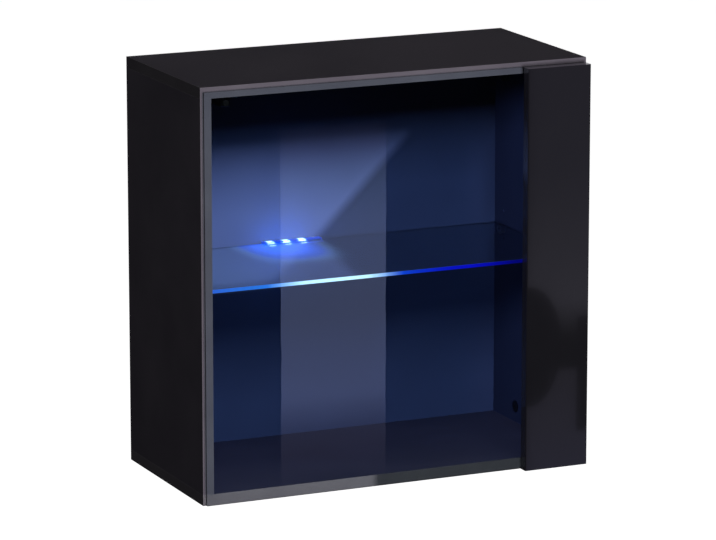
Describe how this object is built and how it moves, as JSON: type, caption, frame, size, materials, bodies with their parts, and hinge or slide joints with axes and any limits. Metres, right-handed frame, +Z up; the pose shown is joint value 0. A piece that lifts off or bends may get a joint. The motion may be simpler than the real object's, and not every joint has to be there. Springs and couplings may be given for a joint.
{
  "type": "wall display cabinet",
  "caption": "Wall-hung black display cabinet with a hinged glass door on a gloss strip, a lit glass shelf and push-to-open latch.",
  "frame": {"origin": "in the wall plane, at the centre of the four wall-plate holes, which is on the cabinet's centre line and 62 mm below its top", "axes": "+X to the right of a person facing the door, +Y into the wall, +Z up"},
  "size_m": [0.6, 0.3, 0.6],
  "materials": {
    "laminated_board": "black melamine laminate with a fine matt grain",
    "fibreboard_back": "black lacquered hardboard, satin",
    "edging": "black plastic edging, satin",
    "beech": "bare fluted beech",
    "zinc_steel": "zinc plated",
    "cast_zinc": "raw die-cast zinc",
    "black_plastic": "fine moulded texture",
    "shelf_glass": "clear float glass, polished edges",
    "nickel_steel": "nickel plated, satin",
    "clear_plastic": "clear soft plastic",
    "anodised_aluminium": "anodised, fine brushed",
    "white_board": "white solder resist",
    "led_lens": "clear resin lens, lit blue-white",
    "door_glass": "toughened clear glass, ground edges",
    "gloss_lacquer": "high gloss black lacquer on fibreboard",
    "bonding_tape": "black foam tape",
    "soft_rubber": "soft matt rubber"
  },
  "bodies": {
    "carcass": {"top_panel": "laminated_board", "bottom_panel": "laminated_board", "left_side_panel": "laminated_board", "right_side_panel": "laminated_board", "back_panel": "fibreboard_back", "top_panel_edging": "edging", "bottom_panel_edging": "edging", "side_panel_edging": "edging", "wood_dowels": "beech", "cam_bolts": "zinc_steel", "cam_locks": "cast_zinc", "cam_caps": "black_plastic", "wall_plates": "zinc_steel", "hanger_housings": "black_plastic", "hanger_hooks": "zinc_steel", "hanger_screws": "zinc_steel", "hanger_covers": "black_plastic", "glass_shelf": "shelf_glass", "shelf_pins": "nickel_steel", "shelf_pads": "clear_plastic", "led_clip": "anodised_aluminium", "led_clip_pads": "clear_plastic", "led_board": "white_board", "led_emitters": "led_lens", "hinge_plates": "nickel_steel", "hinge_plate_screws": "nickel_steel", "hinge_arms": "nickel_steel", "hinge_arm_screws": "nickel_steel", "hinge_arm_pins": "nickel_steel", "latch_body": "black_plastic", "latch_screws": "zinc_steel", "latch_spring": "zinc_steel"},
    "hinge_link": {"hinge_links": "nickel_steel"},
    "door": {"door_glass": "door_glass", "door_strip": "gloss_lacquer", "strip_tapes": "bonding_tape", "hinge_cups": "nickel_steel", "hinge_cup_screws": "nickel_steel", "hinge_cup_pins": "nickel_steel"},
    "latch_plunger": {"latch_plunger": "black_plastic", "latch_tip": "soft_rubber"}
  },
  "joints": [
    {"name": "hinge_link_turn", "type": "hinge", "parent": "carcass", "child": "hinge_link", "pos_m": [0.27, -0.273, -0.238], "axis": [0, 0, 1], "range_deg": [-14, 0]},
    {"name": "door_turn", "type": "hinge", "parent": "hinge_link", "child": "door", "pos_m": [0.2865, -0.2885, -0.238], "axis": [0, 0, 1], "range_deg": [0, 114]},
    {"name": "latch_push", "type": "slide", "parent": "carcass", "child": "latch_plunger", "axis": [0, -1, 0], "range_m": [0, 0.01]}
  ],
  "couplings": [
    {"joint": "hinge_link_turn", "follows": "door_turn", "ratio": -0.12281},
    {"joint": "latch_push", "follows": "door_turn", "m_per_rad": 0.005021}
  ]
}
